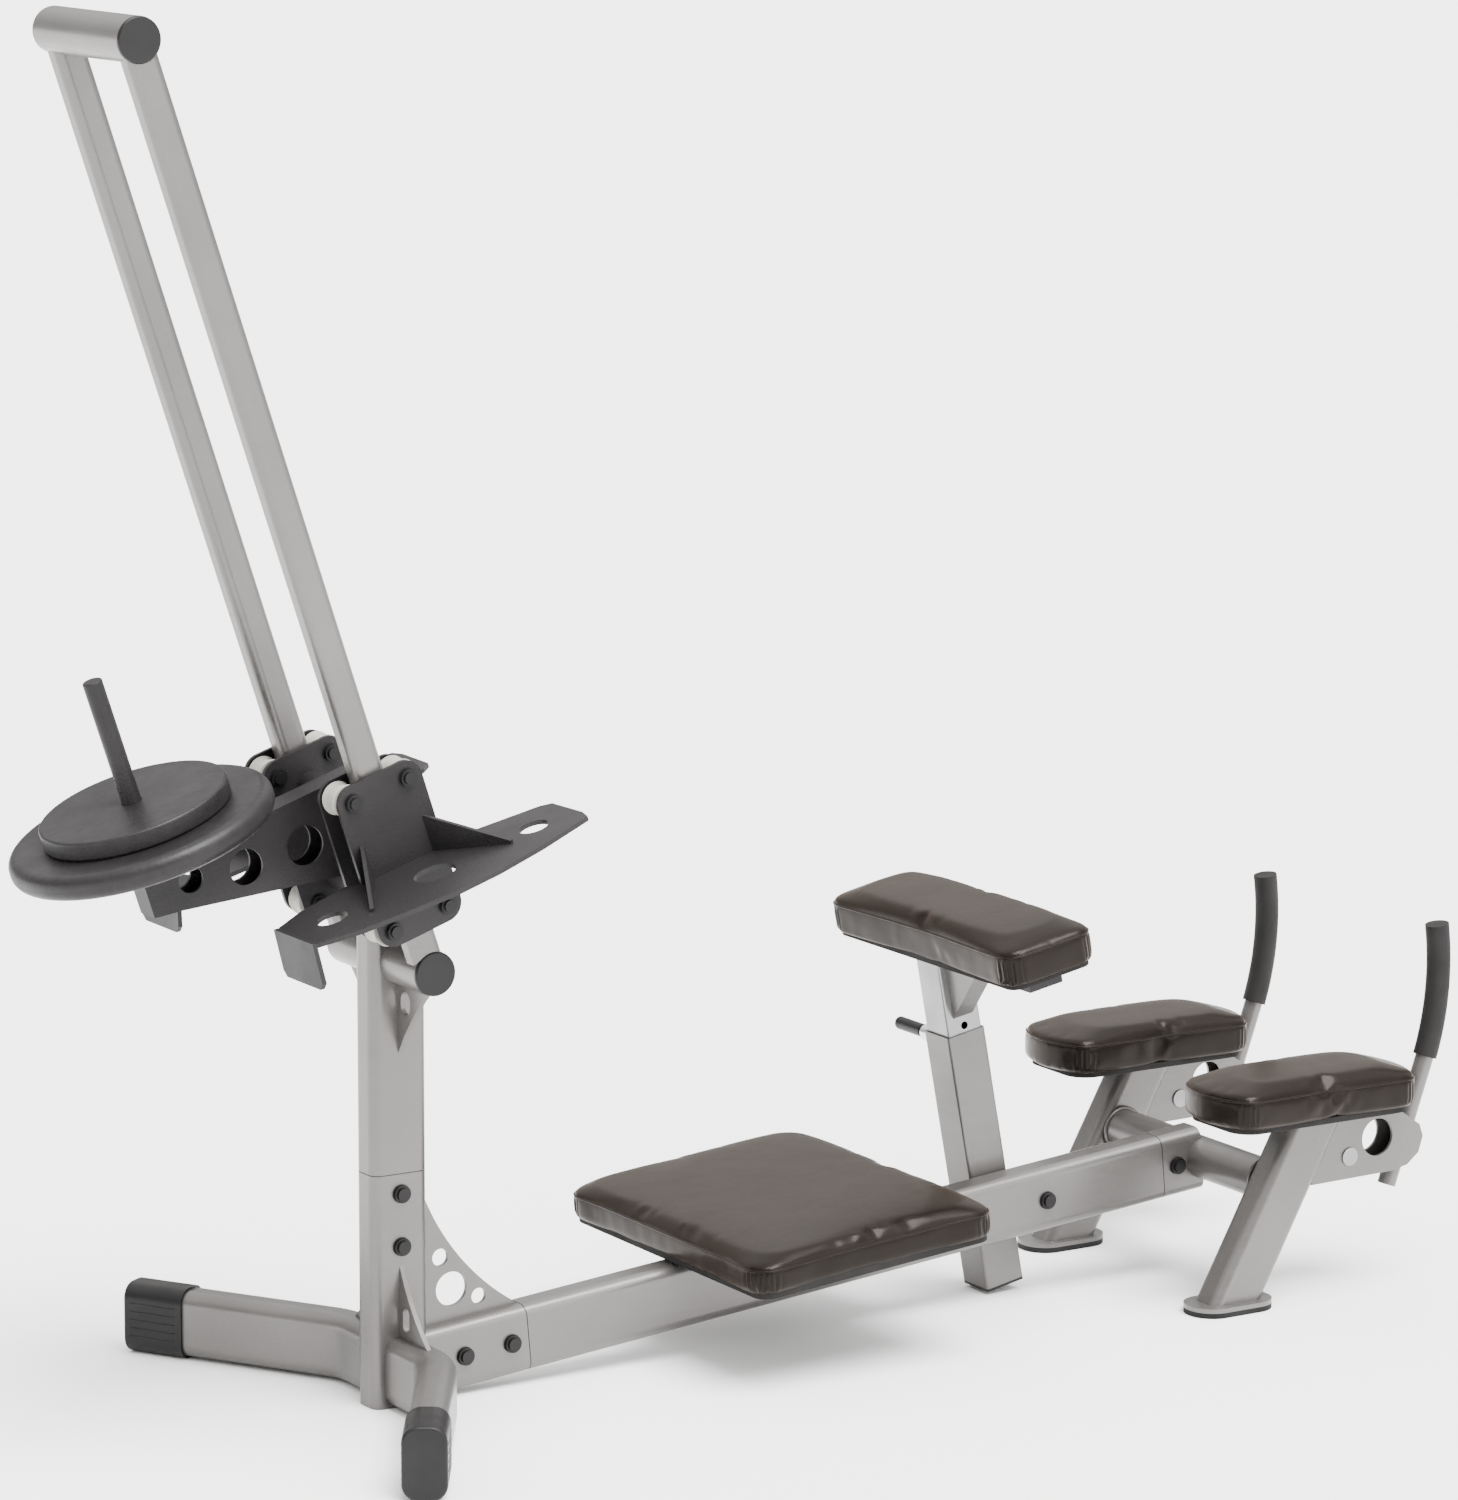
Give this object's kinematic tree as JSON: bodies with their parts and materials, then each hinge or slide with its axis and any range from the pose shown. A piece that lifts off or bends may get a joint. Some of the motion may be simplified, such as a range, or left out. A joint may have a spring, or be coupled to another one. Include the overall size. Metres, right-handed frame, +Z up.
{
  "type": "kneeling glute press machine",
  "caption": "Kneeling press machine: low base frame, leaning twin rails with a roller carriage, step plates and weight post, knee, chest and forearm pads, hand grips.",
  "frame": {"origin": "middle of the footprint on the floor", "axes": "+Z up; +X along the main beam from the rails to the hand grips; +Y towards the side that carries the chest post and its pull pin"},
  "size_m": [2.0464, 0.8134, 1.7786],
  "materials": {
    "silver_paint": "metallic silver-grey enamel, satin",
    "zinc_steel": "zinc plated",
    "black_plastic": "moulded, satin",
    "black_rubber": "matt",
    "charcoal_paint": "fine textured powder coat",
    "foam_grip": "closed-cell foam",
    "board": "black backed plywood",
    "vinyl": "black upholstery vinyl, fine grain",
    "chrome_steel": "bright plated",
    "nylon": "off-white nylon",
    "cast_weight": "hammered black enamel"
  },
  "bodies": {
    "frame": {"base_arm_caps": "black_plastic", "base_arms": "silver_paint", "base_post": "silver_paint", "base_post_plug": "black_plastic", "base_side_gussets": "silver_paint", "beam_inserts": "zinc_steel", "bracket_studs": "zinc_steel", "carriage_bumper": "black_rubber", "cross_tube_caps": "black_plastic", "elbow_pad_boards": "board", "elbow_pad_far": "vinyl", "elbow_pad_near": "vinyl", "foot_pads": "black_rubber", "foot_plates": "silver_paint", "frame_bolts": "black_plastic", "front_gusset": "silver_paint", "front_stub": "silver_paint", "grip_brackets": "silver_paint", "guide_rails": "silver_paint", "hand_grips": "foam_grip", "handle_tubes": "silver_paint", "knee_pad": "vinyl", "knee_pad_board": "board", "knee_pad_straps": "silver_paint", "leg_top_plates": "silver_paint", "lower_cross_tube": "silver_paint", "main_beam": "silver_paint", "pin_barrel": "chrome_steel", "post_end_cap": "black_plastic", "post_sleeve": "silver_paint", "rear_cross_tube": "silver_paint", "rear_legs": "silver_paint", "rear_stub": "silver_paint", "top_cross_tube": "silver_paint", "upright": "silver_paint", "upright_insert": "zinc_steel", "upright_side_gussets": "silver_paint", "upright_top_plate": "silver_paint"},
    "chest_carrier": {"chest_tube": "zinc_steel", "chest_bracket": "charcoal_paint", "chest_brace": "silver_paint", "chest_pad_board": "board", "chest_pad": "vinyl"},
    "pull_pin": {"pull_pin": "chrome_steel", "pull_knob": "black_plastic"},
    "carriage": {"carriage_plates": "charcoal_paint", "carriage_tubes": "charcoal_paint", "weight_arm": "charcoal_paint", "weight_post": "charcoal_paint", "weight_seat": "charcoal_paint", "step_plate_far": "charcoal_paint", "step_plate_near": "charcoal_paint", "step_gussets": "charcoal_paint", "carriage_bolts": "black_plastic"},
    "weights": {"weight_large": "cast_weight", "weight_small": "cast_weight"},
    "rollers_front_low": {"rollers_front_low": "nylon"},
    "rollers_front_high": {"rollers_front_high": "nylon"},
    "rollers_back_low": {"rollers_back_low": "nylon"},
    "rollers_back_high": {"rollers_back_high": "nylon"}
  },
  "joints": [
    {"name": "carriage_slide", "type": "slide", "parent": "frame", "child": "carriage", "axis": [-0.3165, 0, 0.9486], "range_m": [0, 0.9]},
    {"name": "chest_height", "type": "slide", "parent": "frame", "child": "chest_carrier", "axis": [-0.1874, 0, 0.9823], "range_m": [0, 0.18]},
    {"name": "pin_pull", "type": "slide", "parent": "frame", "child": "pull_pin", "axis": [0, 1, 0], "range_m": [0, 0.012], "stiffness_N_per_m": 1000, "springref_m": -0.004},
    {"name": "weights_lift", "type": "slide", "parent": "carriage", "child": "weights", "axis": [-0.3165, 0, 0.9486], "range_m": [0, 0.24]},
    {"name": "rollers_front_low_spin", "type": "hinge", "parent": "carriage", "child": "rollers_front_low", "pos_m": [-0.57976, 0, 0.64385], "axis": [0, 1, 0], "range_deg": [0, 2702]},
    {"name": "rollers_front_high_spin", "type": "hinge", "parent": "carriage", "child": "rollers_front_high", "pos_m": [-0.6353, 0, 0.81032], "axis": [0, 1, 0], "range_deg": [0, 2702]},
    {"name": "rollers_back_low_spin", "type": "hinge", "parent": "carriage", "child": "rollers_back_low", "pos_m": [-0.50425, 0, 0.66904], "axis": [0, 1, 0], "range_deg": [-2702, 0]},
    {"name": "rollers_back_high_spin", "type": "hinge", "parent": "carriage", "child": "rollers_back_high", "pos_m": [-0.55979, 0, 0.83552], "axis": [0, 1, 0], "range_deg": [-2702, 0]}
  ],
  "couplings": [
    {"joint": "rollers_front_low_spin", "follows": "carriage_slide", "rad_per_m": 52.356},
    {"joint": "rollers_front_high_spin", "follows": "carriage_slide", "rad_per_m": 52.356},
    {"joint": "rollers_back_low_spin", "follows": "carriage_slide", "rad_per_m": -52.356},
    {"joint": "rollers_back_high_spin", "follows": "carriage_slide", "rad_per_m": -52.356}
  ]
}
